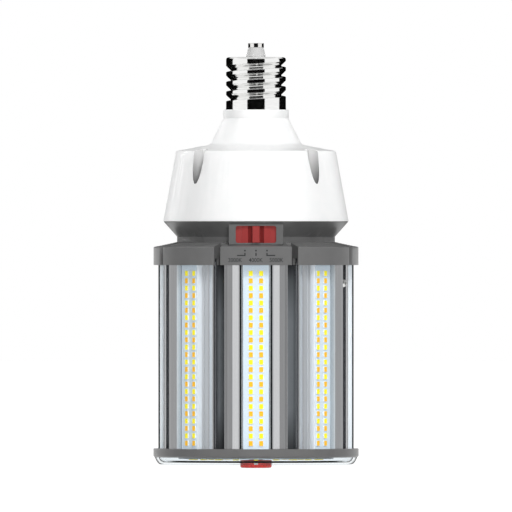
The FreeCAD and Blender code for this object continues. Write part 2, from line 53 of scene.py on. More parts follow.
# %% [markdown]
# A material is a small tree of nodes. One function adds a node, sets its own settings and fills its
# sockets, either with a value or with a link from an earlier node. Colours are written as the sRGB hex that
# a colour picker shows, and one function turns them to the linear values that the renderer works in. Noise
# drives most finishes: it keeps to the middle of its range, so that part is spread over the whole change of
# colour or roughness.

# %% Node and colour helpers
def add(tree, kind, sockets=(), **settings):
    node = tree.nodes.new(kind)
    for name, value in settings.items():
        setattr(node, name, value)
    for key, value in dict(sockets).items():
        if isinstance(value, bpy.types.NodeSocket):
            tree.links.new(value, node.inputs[key])
        else:
            node.inputs[key].default_value = value
    return node


def paint(code):
    parts = [int(code[i:i + 2], 16) / 255 for i in (1, 3, 5)]
    linear = [p / 12.92 if p <= 0.04045 else ((p + 0.055) / 1.055) ** 2.4 for p in parts]
    return (*linear, 1.0)


def bare_material(name):
    material = bpy.data.materials.new(name)
    material.use_nodes = True
    material.node_tree.nodes.clear()
    return material, material.node_tree


def start_material(name, sockets):
    material, tree = bare_material(name)
    skin = add(tree, "ShaderNodeBsdfPrincipled", sockets)
    add(tree, "ShaderNodeOutputMaterial", {"Surface": skin.outputs["BSDF"]})
    return material, tree, skin


print("white is", paint("#ffffff"))

# %% Patterns and colour ramps
NOISE_LOW, NOISE_HIGH = 0.3, 0.7


def object_place(tree):
    return add(tree, "ShaderNodeTexCoord").outputs["Object"]


def object_height(tree):
    return add(tree, "ShaderNodeSeparateXYZ", {0: object_place(tree)}).outputs["Z"]


def grain(tree, size_mm, stretch=(1, 1, 1), detail=3.0):
    # Object coordinates are metres, so a grain of a given size is one over that size.
    turn = add(tree, "ShaderNodeMapping", {"Vector": object_place(tree), "Scale": stretch})
    noise = {"Vector": turn.outputs[0], "Scale": 1 / (size_mm * MM), "Detail": detail}
    return add(tree, "ShaderNodeTexNoise", noise).outputs["Fac"]


def spread(tree, value, low, high):
    span = {"Value": value, "From Min": NOISE_LOW, "From Max": NOISE_HIGH, "To Min": low, "To Max": high}
    return add(tree, "ShaderNodeMapRange", span).outputs["Result"]


def tint(tree, value, dark, light):
    ramp = add(tree, "ShaderNodeValToRGB", {"Fac": value})
    for stop, place, code in zip(ramp.color_ramp.elements, (NOISE_LOW, NOISE_HIGH), (dark, light)):
        stop.position = place
        stop.color = paint(code)
    return ramp.outputs["Color"]


def grey_steps(tree, value, steps):
    ramp = add(tree, "ShaderNodeValToRGB", {"Fac": value})
    stops = ramp.color_ramp.elements
    while len(stops) < len(steps):
        stops.new(0.5)
    for stop, (place, bright) in zip(stops, steps):
        stop.position = place
        stop.color = (bright, bright, bright, 1)
    return ramp.outputs["Color"]


def relief(tree, skin, value, depth_mm, strength):
    bump = add(tree, "ShaderNodeBump", {"Height": value, "Distance": depth_mm * MM, "Strength": strength})
    tree.links.new(bump.outputs["Normal"], skin.inputs["Normal"])


def join(tree, skin, **sockets):
    for name, value in sockets.items():
        tree.links.new(value, skin.inputs[name.replace("_", " ")])


print("noise is spread from", NOISE_LOW, "to", NOISE_HIGH)

# %% [markdown]
# ## Moulded plastics
# The driver housing is white flame-retardant ABS from a polished mould: nearly white, a soft gloss, and
# only a very slow waviness in the surface. The neck, cap and bottom ring are grey glass-filled nylon from a
# spark-eroded mould, whose fine grain breaks the highlight up. Both patterns are noise at a real grain
# size. The deep screw pockets of the housing come from long core pins; their walls are matt, and the shade
# that they hold the deeper they go is painted shade, a slope of grey down the pocket. It spans what the
# noise does, so that tint can colour it.

# %% White ABS and grey nylon
def make_white_abs():
    material, tree, skin = start_material("White moulded ABS", {"Roughness": 0.34, "IOR": 1.5})
    wave = grain(tree, 9.0, detail=2.0)
    fine = grain(tree, 0.6, detail=2.0)
    colour = tint(tree, wave, "#eaebeb", "#ededed")
    join(tree, skin, Base_Color=colour, Roughness=spread(tree, fine, 0.3, 0.38))
    relief(tree, skin, fine, 0.02, 0.12)
    return material


def make_grey_nylon(name, dark, light):
    material, tree, skin = start_material(name, {"Roughness": 0.34, "IOR": 1.5})
    cloud = grain(tree, 7.0, detail=2.0)
    fine = grain(tree, 0.45)
    join(tree, skin, Base_Color=tint(tree, cloud, dark, light), Roughness=spread(tree, fine, 0.28, 0.4))
    relief(tree, skin, fine, 0.05, 0.22)
    return material


POCKET_DEEP, POCKET_MOUTH = -50.0, -28.0


def make_pocket_painted_shade():
    material, tree, skin = start_material("White ABS with painted shade down the screw pockets", {"IOR": 1.5})
    span = {"Value": object_height(tree), "From Min": POCKET_DEEP * MM, "From Max": POCKET_MOUTH * MM,
            "To Min": NOISE_LOW, "To Max": NOISE_HIGH}
    depth = add(tree, "ShaderNodeMapRange", span).outputs["Result"]
    fine = grain(tree, 0.6, detail=2.0)
    # Painted shade: grey towards the foot of the pocket, paler towards its mouth.
    colour = tint(tree, depth, "#6a6a6a", "#c4c4c4")
    join(tree, skin, Base_Color=colour, Roughness=spread(tree, fine, 0.5, 0.6))
    return material


white_abs = make_white_abs()
pocket_painted_shade = make_pocket_painted_shade()
grey_nylon = make_grey_nylon("Grey moulded nylon", "#656565", "#696969")
# Painted shade: the neck's nylon is a darker copy of the cap's, for the shade under the housing's overhang.
neck_nylon_painted_shade = make_grey_nylon("Grey nylon of the neck darkened as painted shade", "#595959", "#5d5d5d")
print("plastics:", white_abs.name, "/", grey_nylon.name)

# %% [markdown]
# The two controls are red ABS with a satin gloss. The knob's red is brighter than the slider's, which is
# painted light for the light that the ring keeps from it, and the grooves beside the slider's ridge get a
# darker red, which is painted shade. The printed marks on the cap are a matt pad-print ink, and the pointer
# dot on the power knob is white ink. Ink lies in a film, so it only gets a fine speckle. Steatite, the
# pressed ceramic of the base insulator, is grey and fine-grained, with the soft shine of a fired body.

# %% Red ABS, inks and black ABS
def make_satin(name, dark, light, rough_low, rough_high, size_mm=0.5, depth_mm=0.02):
    material, tree, skin = start_material(name, {"IOR": 1.5})
    fine = grain(tree, size_mm)
    colour = tint(tree, fine, dark, light)
    join(tree, skin, Base_Color=colour, Roughness=spread(tree, fine, rough_low, rough_high))
    relief(tree, skin, fine, depth_mm, 0.15)
    return material


red_abs = make_satin("Red moulded ABS", "#8b2f2e", "#933433", 0.32, 0.42)
# Painted shade: a darker red for the grooves beside the slider's ridge.
groove_red_painted_shade = make_satin("Red ABS with painted shade in the grip grooves", "#5e100f", "#6a1413", 0.5, 0.6)
# Painted light: the knob's red is brighter than the slider's, for the light that the ring keeps from it.
knob_red_painted_light = make_satin("Red knob ABS brightened as painted light", "#f54c48", "#fb524e", 0.3, 0.4)
black_abs = make_satin("Black moulded ABS", "#1a1a1b", "#202021", 0.4, 0.52)
dark_ink = make_satin("Dark pad-print ink", "#242526", "#2c2d2e", 0.55, 0.7, 0.2, 0.005)
white_ink = make_satin("White pad-print ink", "#f0f0ee", "#f7f7f5", 0.5, 0.6, 0.2, 0.005)
steatite = make_satin("Grey steatite", "#bababa", "#c2c2c1", 0.3, 0.4, 0.35, 0.01)
print("satin finishes:", red_abs.name, black_abs.name, dark_ink.name, white_ink.name, steatite.name)

# %% [markdown]
# ## Metals
# The screw shell is nickel-plated brass, a mirror with faint rolling marks that run round it. The contact
# is tinned brass and the screws are zinc-plated steel, each a little duller. A metal keeps the default
# IOR, and only its colour, roughness and marks are set.

# %% Plated metals
def make_plated(name, dark, light, rough_low, rough_high, stretch, size_mm):
    material, tree, skin = start_material(name, {"Metallic": 1.0})
    mark = grain(tree, size_mm, stretch)
    colour = tint(tree, mark, dark, light)
    join(tree, skin, Base_Color=colour, Roughness=spread(tree, mark, rough_low, rough_high))
    relief(tree, skin, mark, 0.004, 0.06)
    return material


nickel = make_plated("Nickel-plated brass", "#eeeeed", "#f6f6f5", 0.05, 0.1, (0.25, 0.25, 2.0), 2.0)
tinned = make_plated("Tinned contact brass", "#e6e5e2", "#efeeec", 0.07, 0.14, (1, 1, 1), 1.2)
zinc = make_plated("Zinc-plated steel", "#c9cac8", "#d6d7d6", 0.16, 0.28, (1, 1, 1), 0.5)
print("plated:", nickel.name, tinned.name, zinc.name)

# %% [markdown]
# The light bars are extruded aluminium with a clear anodised skin. The die leaves lines along the bar, so
# the noise is squeezed across it and drawn out along Z. The top plate is the same metal in black anodise,
# the core and the bottom plate in grey: there the dyed oxide hides the metal, so they are low in gloss and
# not set as a bare metal. Between the bars the two ends of the core lie deep under the cap and the ring.
# The shade that they hold is painted shade: a slope of grey over the height, laid over the colour.

# %% Anodised aluminium
def make_clear_anodise():
    material, tree, skin = start_material("Clear anodised aluminium", {"Metallic": 1.0})
    line = grain(tree, 0.5, (1, 1, 0.02), 2.0)
    colour = tint(tree, line, "#d9dadc", "#dfe0e2")
    join(tree, skin, Base_Color=colour, Roughness=spread(tree, line, 0.12, 0.15))
    relief(tree, skin, line, 0.002, 0.05)
    return material


clear_anodise = make_clear_anodise()
black_anodise = make_satin("Black anodised aluminium", "#2c2f31", "#35383a", 0.45, 0.6, 0.8, 0.01)
grey_anodise = make_satin("Grey anodised aluminium", "#7b8084", "#83888c", 0.4, 0.55, 0.8, 0.01)
print("anodised:", clear_anodise.name, "/", black_anodise.name, "/", grey_anodise.name)

# %% Painted shade at the ends of the core
# Painted shade: height in mm, and the share of its brightness that the core keeps there.
CORE_PAINTED_SHADE = [(-221.0, 0.26), (-208.0, 0.64), (-195.0, 1.0), (-138.0, 1.0), (-111.0, 0.58), (-101.0, 0.16)]


def make_core_painted_shade():
    material, tree, skin = start_material("Grey anodised core tube with painted shade at its ends", {"IOR": 1.5})
    fine = grain(tree, 0.8)
    low, high = CORE_PAINTED_SHADE[0][0], CORE_PAINTED_SHADE[-1][0]
    span = {"Value": object_height(tree), "From Min": low * MM, "From Max": high * MM}
    share = add(tree, "ShaderNodeMapRange", span).outputs[0]
    shade = grey_steps(tree, share, [((z - low) / (high - low), bright) for z, bright in CORE_PAINTED_SHADE])
    colour_and_painted_shade = {0: tint(tree, fine, "#7b8084", "#83888c"), 1: shade}
    colour = add(tree, "ShaderNodeVectorMath", colour_and_painted_shade, operation="MULTIPLY").outputs[0]
    join(tree, skin, Base_Color=colour, Roughness=spread(tree, fine, 0.4, 0.55))
    return material


core_painted_shade = make_core_painted_shade()
print("core:", core_painted_shade.name)

# %% [markdown]
# ## Light boards, packages and clear covers
# Each board is a metal-core circuit board under white solder mask, which is even, matt and faintly blue. A
# package is a white moulded cup filled with phosphor in clear silicone: greenish yellow for cool light,
# orange for warm light. The lamp is switched off, but phosphor turns part of the blue in daylight into its
# own colour, so it looks cleaner and brighter than a paint would. A little steady emission stands in for
# that as painted light, whatever the lamps do, kept out of the light sampling, since so weak a glow lights
# nothing.

# %% Board, cup and phosphor finishes
solder_mask = make_satin("White solder mask", "#e2ebf4", "#e7eff7", 0.4, 0.5, 0.9, 0.01)
green_mask = make_satin("Green solder mask", "#1d4a2e", "#245637", 0.35, 0.45, 0.9, 0.01)
cup_plastic = make_satin("White package cup", "#f0efe9", "#f6f5f0", 0.4, 0.5, 0.3, 0.004)
cool_phosphor = make_satin("Cool white phosphor", "#f6e400", "#fbea06", 0.25, 0.35, 0.3, 0.004)
warm_phosphor = make_satin("Warm white phosphor", "#f0ac00", "#f5b204", 0.25, 0.35, 0.3, 0.004)


# Painted light: a steady glow on the phosphor, the same under any lamp.
def paint_phosphor_glow(material, colour, strength):
    skin = next(n for n in material.node_tree.nodes if n.type == "BSDF_PRINCIPLED")
    skin.inputs["Emission Color"].default_value = paint(colour)
    skin.inputs["Emission Strength"].default_value = strength
    material.cycles.emission_sampling = "NONE"


paint_phosphor_glow(cool_phosphor, "#ffed00", 0.28)
paint_phosphor_glow(warm_phosphor, "#ffc600", 0.28)
print("phosphors:", cool_phosphor.name, "/", warm_phosphor.name)

# %% [markdown]
# The parts of the driver are hidden in the housing, and show only when it is taken off. Ferrite is sintered
# powder, black and dull; the winding is bound in yellow polyester tape, smooth and a little glossy; and the
# capacitors wear a shrunk sleeve of dark blue film.

# %% Finishes of the driver's parts
ferrite = make_satin("Sintered ferrite", "#232325", "#2b2b2d", 0.55, 0.7, 0.6, 0.02)
tape = make_satin("Yellow polyester tape", "#c9a72c", "#d4b23a", 0.3, 0.4, 1.2, 0.01)
sleeve = make_satin("Dark blue sleeve", "#1b2233", "#222a3d", 0.28, 0.36, 1.0, 0.01)
print("driver's parts:", ferrite.name, "/", tape.name, "/", sleeve.name)

# %% [markdown]
# The covers are clear polycarbonate, a millimetre thick. Real refraction through two thin walls costs many
# light bounces and adds noise, while the eye mostly sees three things: what lies behind, hardly changed, a
# gloss that grows towards grazing angles, and a dark line where a wall is seen along its length and its
# light has gone elsewhere. So the cover mixes a transparent surface with a glossy one, and that dark line is
# painted shade: how far the surface is turned from the eye sets both the share of gloss and the depth of the
# painted shade. Light on its way to the boards passes unhindered.
#
# Two lines need more than that. The side walls of a cover carry light to their ends, where it leaves as a
# white lip, so they get a whiter, less clear version, which is painted light, with a dark line of painted
# shade along the lip. It reads three attributes that the covers are given further on: how far a point lies
# under the outermost one (reach) and under the widest one (side), in mm, and the way that the bar looks
# (out). The other line is painted shade on the rim of the dish's floor, dark on its near side when the eye
# is level with it.

# %% Painted dark lines in clear plastic
EDGE_BLUR = 0.1
FLOOR_LINE_Z = -229.1
FLOOR_LINE_DEPTH = 0.85


# Painted shade along the lips of a cover's side walls.
def wall_painted_shade(tree, seen):
    out = add(tree, "ShaderNodeAttribute", attribute_name="out").outputs["Vector"]
    way = add(tree, "ShaderNodeNewGeometry").outputs["Incoming"]
    aim = add(tree, "ShaderNodeVectorMath", {0: out, 1: way}, operation="DOT_PRODUCT").outputs["Value"]
    aim = add(tree, "ShaderNodeMath", {0: aim}, operation="ABSOLUTE").outputs[0]
    lines = []
    # The outermost line shows from the side, the widest one from straight in front.
    for name, wide, least_aim, most_aim in (("reach", 1.0, 0.3, 0.1), ("side", 1.28, 0.95, 0.99)):
        under = add(tree, "ShaderNodeAttribute", attribute_name=name).outputs["Fac"]
        edge = {"Value": under, "From Min": -wide - EDGE_BLUR, "From Max": EDGE_BLUR - wide}
        near = add(tree, "ShaderNodeMapRange", edge).outputs[0]
        along = {"Value": aim, "From Min": least_aim, "From Max": most_aim}
        along = add(tree, "ShaderNodeMapRange", along).outputs[0]
        lines.append(add(tree, "ShaderNodeMath", {0: near, 1: along}, operation="MULTIPLY").outputs[0])
    line = add(tree, "ShaderNodeMath", {0: lines[0], 1: lines[1]}, operation="MAXIMUM").outputs[0]
    return add(tree, "ShaderNodeMath", {0: line, 1: seen}, operation="MULTIPLY").outputs[0]


# Painted shade on the near rim of the dish's floor, when the eye is level with it.
def floor_rim_painted_shade(tree, seen):
    way = add(tree, "ShaderNodeNewGeometry").outputs["Incoming"]
    flat = {0: object_place(tree), 1: (1, 1, 0)}
    flat = add(tree, "ShaderNodeVectorMath", flat, operation="MULTIPLY").outputs[0]
    flat = add(tree, "ShaderNodeVectorMath", {0: flat}, operation="NORMALIZE").outputs[0]
    near = add(tree, "ShaderNodeVectorMath", {0: flat, 1: way}, operation="DOT_PRODUCT").outputs["Value"]
    rise = add(tree, "ShaderNodeSeparateXYZ", {0: way}).outputs["Z"]
    rise = add(tree, "ShaderNodeMath", {0: rise}, operation="ABSOLUTE").outputs[0]
    off = {0: object_height(tree), 1: FLOOR_LINE_Z * MM}
    off = add(tree, "ShaderNodeMath", off, operation="SUBTRACT").outputs[0]
    off = add(tree, "ShaderNodeMath", {0: off}, operation="ABSOLUTE").outputs[0]
    share = seen
    for value, none_at, full_at in ((near, 0.4, 0.62), (rise, 0.09, 0.03), (off, 0.72 * MM, 0.42 * MM)):
        value = add(tree, "ShaderNodeMapRange", {"Value": value, "From Min": none_at, "From Max": full_at})
        share = add(tree, "ShaderNodeMath", {0: share, 1: value.outputs[0]}, operation="MULTIPLY").outputs[0]
    return add(tree, "ShaderNodeMath", {0: share, 1: FLOOR_LINE_DEPTH}, operation="MULTIPLY").outputs[0]


print("dish line at", FLOOR_LINE_Z, "mm")

# %% Clear polycarbonate
def make_polycarbonate(name, colour, least, most, dark_from, line=None):
    material, tree, skin = start_material(name, {"Base Color": paint(colour), "IOR": 1.5})
    fine = grain(tree, 1.5, (1, 1, 0.05), 2.0)
    join(tree, skin, Roughness=spread(tree, fine, 0.04, 0.09))
    ray = add(tree, "ShaderNodeLightPath").outputs
    seen = {0: ray["Is Camera Ray"], 1: ray["Is Glossy Ray"]}
    seen = add(tree, "ShaderNodeMath", seen, operation="MAXIMUM").outputs[0]
    turned = add(tree, "ShaderNodeLayerWeight", {"Blend": 0.5}).outputs["Facing"]
    turned = add(tree, "ShaderNodeMath", {0: turned, 1: seen}, operation="MULTIPLY").outputs[0]
    # Painted shade: the clear part darkens where the surface turns away from the eye.
    dark = add(tree, "ShaderNodeValToRGB", {"Fac": turned})
    bright_stop, dark_stop = dark.color_ramp.elements
    bright_stop.position = dark_from
    dark_stop.position = min(dark_from + 0.1, 0.995)
    bright_stop.color = paint("#fafcfd")
    dark_stop.color = paint("#1c1e20")
    clear = add(tree, "ShaderNodeBsdfTransparent", {"Color": dark.outputs["Color"]})
    rise = add(tree, "ShaderNodeMath", {0: turned, 1: 4.0}, operation="POWER").outputs[0]
    share = add(tree, "ShaderNodeMapRange", {"Value": rise, "To Min": least, "To Max": most}).outputs[0]
    share = add(tree, "ShaderNodeMath", {0: share, 1: seen}, operation="MULTIPLY").outputs[0]
    both = add(tree, "ShaderNodeMixShader", {0: share, 1: clear.outputs[0], 2: skin.outputs[0]})
    if line:
        # A dark matt surface laid over the clear one, where a painted dark line falls.
        shade = add(tree, "ShaderNodeBsdfDiffuse", {"Color": paint("#222527")})
        mix = {0: line(tree, seen), 1: both.outputs[0], 2: shade.outputs[0]}
        both = add(tree, "ShaderNodeMixShader", mix)
    surface = next(n for n in tree.nodes if n.type == "OUTPUT_MATERIAL").inputs["Surface"]
    tree.links.new(both.outputs[0], surface)
    return material


clear_polycarbonate = make_polycarbonate("Clear polycarbonate", "#f4f7f9", 0.015, 0.45, 0.86)
# Painted light: the side walls are a whiter, less clear copy, for the light that they carry to their lips.
lip_painted_light = make_polycarbonate("Polycarbonate side wall whitened as painted light", "#e6eaee", 0.58, 0.58, 0.9, wall_painted_shade)
dish_polycarbonate = make_polycarbonate("Clear dish polycarbonate", "#f4f7f9", 0.03, 0.25, 0.82, floor_rim_painted_shade)
dish_foot = make_polycarbonate("Clear foot of the dish", "#f4f7f9", 0.02, 0.05, 0.987)
dish_floor = make_polycarbonate("Inner floor of the dish", "#f4f7f9", 0.02, 0.04, 0.88)
print("covers:", clear_polycarbonate.name, "/", lip_painted_light.name, "/", dish_polycarbonate.name)

# %% [markdown]
# ## Softened edges
# CAD edges are perfectly sharp, and no moulded or extruded edge is. A copy of the CAD mesh is merged, its
# flat fans of triangles are dissolved back to whole faces, and a narrow bevel rounds what is left sharp.
# The copy then stands for its node, at the same place and on the same body. The normals are hardened, so
# that a long flat wall keeps its own normal and mirrors one thing from top to bottom.

# %% Put a mesh in the scene
def close_mesh(mesh, name):
    data = bpy.data.meshes.new(name)
    mesh.to_mesh(data)
    mesh.free()
    return data


def show(name, data):
    made = bpy.data.objects.new(name, data)
    bpy.context.scene.collection.objects.link(made)
    return made


def smooth_but(data, sharp_deg):
    data.polygons.foreach_set("use_smooth", [True] * len(data.polygons))
    data.set_sharp_from_angle(angle=math.radians(sharp_deg))


def plain(piece):
    graph = bpy.context.evaluated_depsgraph_get()
    shaped = piece.evaluated_get(graph)
    data = bpy.data.meshes.new_from_object(shaped, preserve_all_data_layers=True, depsgraph=graph)
    piece.modifiers.clear()
    piece.data = data
    return piece


def settle(piece, slot, body, *replaced):
    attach(piece, body)
    if replaced:
        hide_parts(*replaced)
    return piece


def size_words(piece):
    return piece.name + ": " + str(len(piece.data.polygons)) + " faces"


print("CAD pieces:", len(nodes))

# %% Copy a node with softened edges
MERGE_MM = 0.002
FLAT_DEG = 0.3


def soft_copy(node, material, slot, body, width_mm=0.0, sharp_deg=35.0):
    mesh = bmesh.new()
    mesh.from_mesh(nodes[node].data)
    bmesh.ops.remove_doubles(mesh, verts=mesh.verts, dist=MERGE_MM * MM)
    bmesh.ops.dissolve_limit(mesh, angle_limit=math.radians(FLAT_DEG), verts=mesh.verts, edges=mesh.edges)
    data = close_mesh(mesh, node)
    piece = show(node + "_dressed", data)
    smooth_but(data, sharp_deg)
    if width_mm:
        bevel = piece.modifiers.new("soft edge", "BEVEL")
        bevel.width = width_mm * MM
        bevel.segments = 2
        bevel.limit_method = "ANGLE"
        bevel.angle_limit = math.radians(sharp_deg)
        bevel.use_clamp_overlap = True
        bevel.harden_normals = True
        plain(piece)
    piece.data.materials.clear()
    piece.data.materials.append(material)
    return settle(piece, slot, body, node)


print("edges are merged at", MERGE_MM, "mm and flat to", FLAT_DEG, "degrees")

# %% [markdown]
# The housing, the neck, the cap and the ring get mould radii of a few tenths of a millimetre. The bars get
# the small radius of an extrusion die, and the knob and the slider the radius of a small moulding. On the
# bars even a bend of ten degrees counts as an edge, so that each flat mirrors its own panel of the studio.

# %% Soften the mouldings and bars
LAMP = "lamp"
softened = [
    ("driver_housing", white_abs, "white_housing", LAMP, 0.35),
    ("neck_housing", neck_nylon_painted_shade, "dark_grey_plastic", LAMP, 0.25),
    ("top_cap", grey_nylon, "dark_grey_plastic", LAMP, 0.2),
    ("bottom_ring", grey_nylon, "dark_grey_plastic", LAMP, 0.3),
    ("base_insulator", steatite, "base_ceramic", LAMP, 0.2),
    ("center_contact", tinned, "contact_metal", LAMP, 0.2),
    ("switch_backing", red_abs, "red_plastic", LAMP, 0.1),
    ("color_slider", red_abs, "red_plastic", "color_slider", 0.12),
    ("power_knob", knob_red_painted_light, "red_plastic", "power_knob", 0.15),
    ("end_lens", dish_polycarbonate, "clear_lens", LAMP, 0.0),
]
for number in range(1, 9):
    softened.append((f"heatsink_bar_{number}", clear_anodise, "bar_aluminium", LAMP, 0.12, 10.0))
    softened.append((f"strip_lens_{number}", clear_polycarbonate, "clear_lens", LAMP, 0.2))
dressed = {row[0]: soft_copy(*row) for row in softened}
print([size_words(piece) for piece in list(dressed.values())[:8]])

# %% [markdown]
# A piece may carry more than one finish, and a rule picks the faces of each. On each strip cover, the side
# walls and the bend that joins them to the face get the whiter finish of painted light: a face belongs to
# them when its middle lies further across than the flat of the cover. The same step stores what the
# painted dark lines read, point by point.

# %% Paint light into the side walls of the covers
COVER_FLAT = 9.25


def give_finish(piece, finish, faces):
    piece.data.materials.append(finish)
    for face in faces:
        face.material_index = len(piece.data.materials) - 1
    return len(faces)


def whiten_sides_as_painted_light(piece, number):
    turn = math.radians((number - 1) * 45)
    across = Vector((math.cos(turn), math.sin(turn), 0))
    out = Vector((math.sin(turn), -math.cos(turn), 0))
    for name, way in (("reach", out), ("side", across)):
        depth = [abs(vertex.co.dot(way)) / MM for vertex in piece.data.vertices]
        data = piece.data.attributes.new(name, "FLOAT", "POINT")
        data.data.foreach_set("value", [value - max(depth) for value in depth])
    data = piece.data.attributes.new("out", "FLOAT_VECTOR", "POINT")
    data.data.foreach_set("vector", list(out) * len(piece.data.vertices))
    sides = [f for f in piece.data.polygons if abs(f.center.dot(across)) > COVER_FLAT * MM]
    return give_finish(piece, lip_painted_light, sides)


# Faces per cover that get the whitening of painted light.
print("frosted faces:", [whiten_sides_as_painted_light(dressed[f"strip_lens_{n}"], n) for n in range(1, 9)])

# %% [markdown]
# Three more pieces are split in this way. The dish has a foot, which looks down, and an inner floor, which
# looks up and stays flat. The grooves beside the slider's ridge are its deepest faces that look forward, and
# they get the red with painted shade. The walls of the four screw pockets stand round axes on the diagonals
# of the housing, and they get the white with painted shade.

# %% Dish finishes, and painted shade in the grooves and the pockets
RIDGE_REACH = 5.2
GROOVE_STEP = 0.32
POCKET_CIRCLE = 51.0
POCKET_R = 4.97
POCKET_TOP = -27.0


def clear_foot(piece):
    foot = [f for f in piece.data.polygons if f.normal.z < -0.8]
    floor = [f for f in piece.data.polygons if f.normal.z > 0.9]
    for face in floor:
        face.use_smooth = False
    return give_finish(piece, dish_foot, foot), give_finish(piece, dish_floor, floor)


def paint_groove_shade(piece):
    front = [f for f in piece.data.polygons if f.normal.y < -0.9 and abs(f.center.x) < RIDGE_REACH * MM]
    deepest = max(f.center.y for f in front)
    return give_finish(piece, groove_red_painted_shade, [f for f in front if f.center.y > deepest - GROOVE_STEP * MM])


def paint_pocket_shade(piece):
    far = POCKET_CIRCLE * MM * math.sqrt(0.5)
    axes = [Vector((x * far, y * far)) for x in (-1, 1) for y in (-1, 1)]
    walls = []
    for face in piece.data.polygons:
        off = min((face.center.xy - axis).length for axis in axes)
        if off < POCKET_R * MM and face.center.z < POCKET_TOP * MM:
            walls.append(face)
    return give_finish(piece, pocket_painted_shade, walls)


print("pocket faces:", paint_pocket_shade(dressed["driver_housing"]))
print("dish foot and floor faces:", clear_foot(dressed["end_lens"]))
print("groove faces:", paint_groove_shade(dressed["color_slider"]))

# %% [markdown]
# ## The rolled screw shell
# A mogul shell is rolled from thin sheet, so its thread has a flat crest, a tight shoulder above it and a
# long slant below. It could be a swept curve, but a sweep can't fade into the plain band. Here one profile
# of a single turn is laid along the wall at every angle, lifted by the pitch as the angle grows, and its
# depth fades in and out at the ends. Turn after turn the columns of points join up into one closed skin.

# %% Roll the thread
SHELL_R = 19.5
SHELL_TOP = 34.3
PITCH = 6.35
BACK_CREST = 10.6 - PITCH / 4
COLUMNS = 160
TURNS = 4
# Radius and rise of one turn, in mm: the flat crest, the shoulder, the groove's floor and the long slant.
TURN_PROFILE = [
    (19.5, -1.05), (19.5, -0.8), (19.5, 0.8), (19.48, 0.98), (19.3, 1.2), (18.8, 1.36), (17.9, 1.5),
    (17.0, 1.68), (16.55, 2.0), (16.5, 2.3), (16.7, 2.62), (17.5, 3.35), (18.35, 4.15), (19.1, 4.95),
    (19.36, 5.22)]
FADE = 0.14
MOUTH_R = 6.2
INNER_R = 15.4


def fade(turns):
    share = min(max(turns / FADE, 0), 1) * min(max((TURNS - turns) / FADE, 0), 1)
    return share * share * (3 - 2 * share)


def shell_column(angle):
    # The groove of a turn lies above its crest, so the count starts one pitch under the first crest.
    rim = [(SHELL_R + 0.15, 0.0), (SHELL_R + 0.13, 0.5), (SHELL_R, 1.0)]
    thread = []
    low, high = 1.2, SHELL_TOP - 1.7
    for turn in range(-1, TURNS + 1):
        along = turn + angle / (2 * math.pi)
        for radius, rise in TURN_PROFILE:
            z = BACK_CREST + (along - 1) * PITCH + rise
            depth = (SHELL_R - radius) * fade(along)
            thread.append((SHELL_R - depth, min(max(z, low), high)))
    corner = [(SHELL_R, 1.6), (SHELL_R - 0.15, 1.0), (SHELL_R - 0.6, 0.45)]
    top = [(SHELL_R - 1.6, 0.15), (12.0, 0.03), (MOUTH_R, 0.0)]
    inside = [(MOUTH_R, 1.0), (INNER_R, 1.6), (INNER_R, SHELL_TOP)]
    return rim + thread + [(radius, SHELL_TOP - drop) for radius, drop in corner + top + inside]


def make_screw_shell():
    mesh = bmesh.new()
    rows = []
    for column in range(COLUMNS + 1):
        angle = 2 * math.pi * column / COLUMNS
        turn = math.pi / 2 + angle
        along, across = math.cos(turn) * MM, math.sin(turn) * MM
        rows.append([mesh.verts.new((r * along, r * across, z * MM)) for r, z in shell_column(angle)])
    count = len(rows[0])
    for a, b in zip(rows, rows[1:]):
        for i in range(count):
            j = (i + 1) % count
            mesh.faces.new((a[i], b[i], b[j], a[j]))
    # Where the groove fades out, many points of a column meet.
    bmesh.ops.remove_doubles(mesh, verts=mesh.verts, dist=2 * MERGE_MM * MM)
    bmesh.ops.dissolve_degenerate(mesh, dist=2 * MERGE_MM * MM, edges=mesh.edges)
    bmesh.ops.recalc_face_normals(mesh, faces=mesh.faces)
    data = close_mesh(mesh, "screw_shell_rolled")
    data.materials.append(nickel)
    smooth_but(data, 48)
    return settle(show("screw_shell_rolled", data), "nickel_plate", LAMP, "screw_shell")


print(size_words(make_screw_shell()))

# %% [markdown]
# ## LED packages
# Hundreds of equal packages stand in rows, which is work for Geometry Nodes. One cup is modelled once. The
# tree makes a column of points at the row pitch, doubles it for the two columns of a board, puts the cup on
# each point, then repeats the whole board round the lamp. Sizes are inputs of the tree, so the same tree
# sets the cups and the phosphor of both colours.

# %% One package, in two meshes
PACKAGE_W, PACKAGE_H, PACKAGE_T = 2.8, 3.5, 0.7
WINDOW_W, WINDOW_H = 2.62, 3.3
CORNER_SHARE = 0.12


def box_ring(mesh, width, height, depth):
    # A rectangle with cut corners, as eight points.
    half_w, half_h = width / 2 * MM, height / 2 * MM
    cut = min(width, height) * CORNER_SHARE * MM
    in_w, in_h = half_w - cut, half_h - cut
    flat = [(-in_w, -half_h), (in_w, -half_h), (half_w, -in_h), (half_w, in_h),
            (in_w, half_h), (-in_w, half_h), (-half_w, in_h), (-half_w, -in_h)]
    return [mesh.verts.new((x, -depth * MM, z)) for x, z in flat]


def stack_rings(name, rings, material):
    mesh = bmesh.new()
    made = [box_ring(mesh, *ring) for ring in rings]
    for a, b in zip(made, made[1:]):
        for i in range(8):
            j = (i + 1) % 8
            mesh.faces.new((a[i], a[j], b[j], b[i]))
    mesh.faces.new(made[-1])
    mesh.faces.new(list(reversed(made[0])))
    bmesh.ops.recalc_face_normals(mesh, faces=mesh.faces)
    data = close_mesh(mesh, name)
    data.materials.append(material)
    return bpy.data.objects.new(name, data)


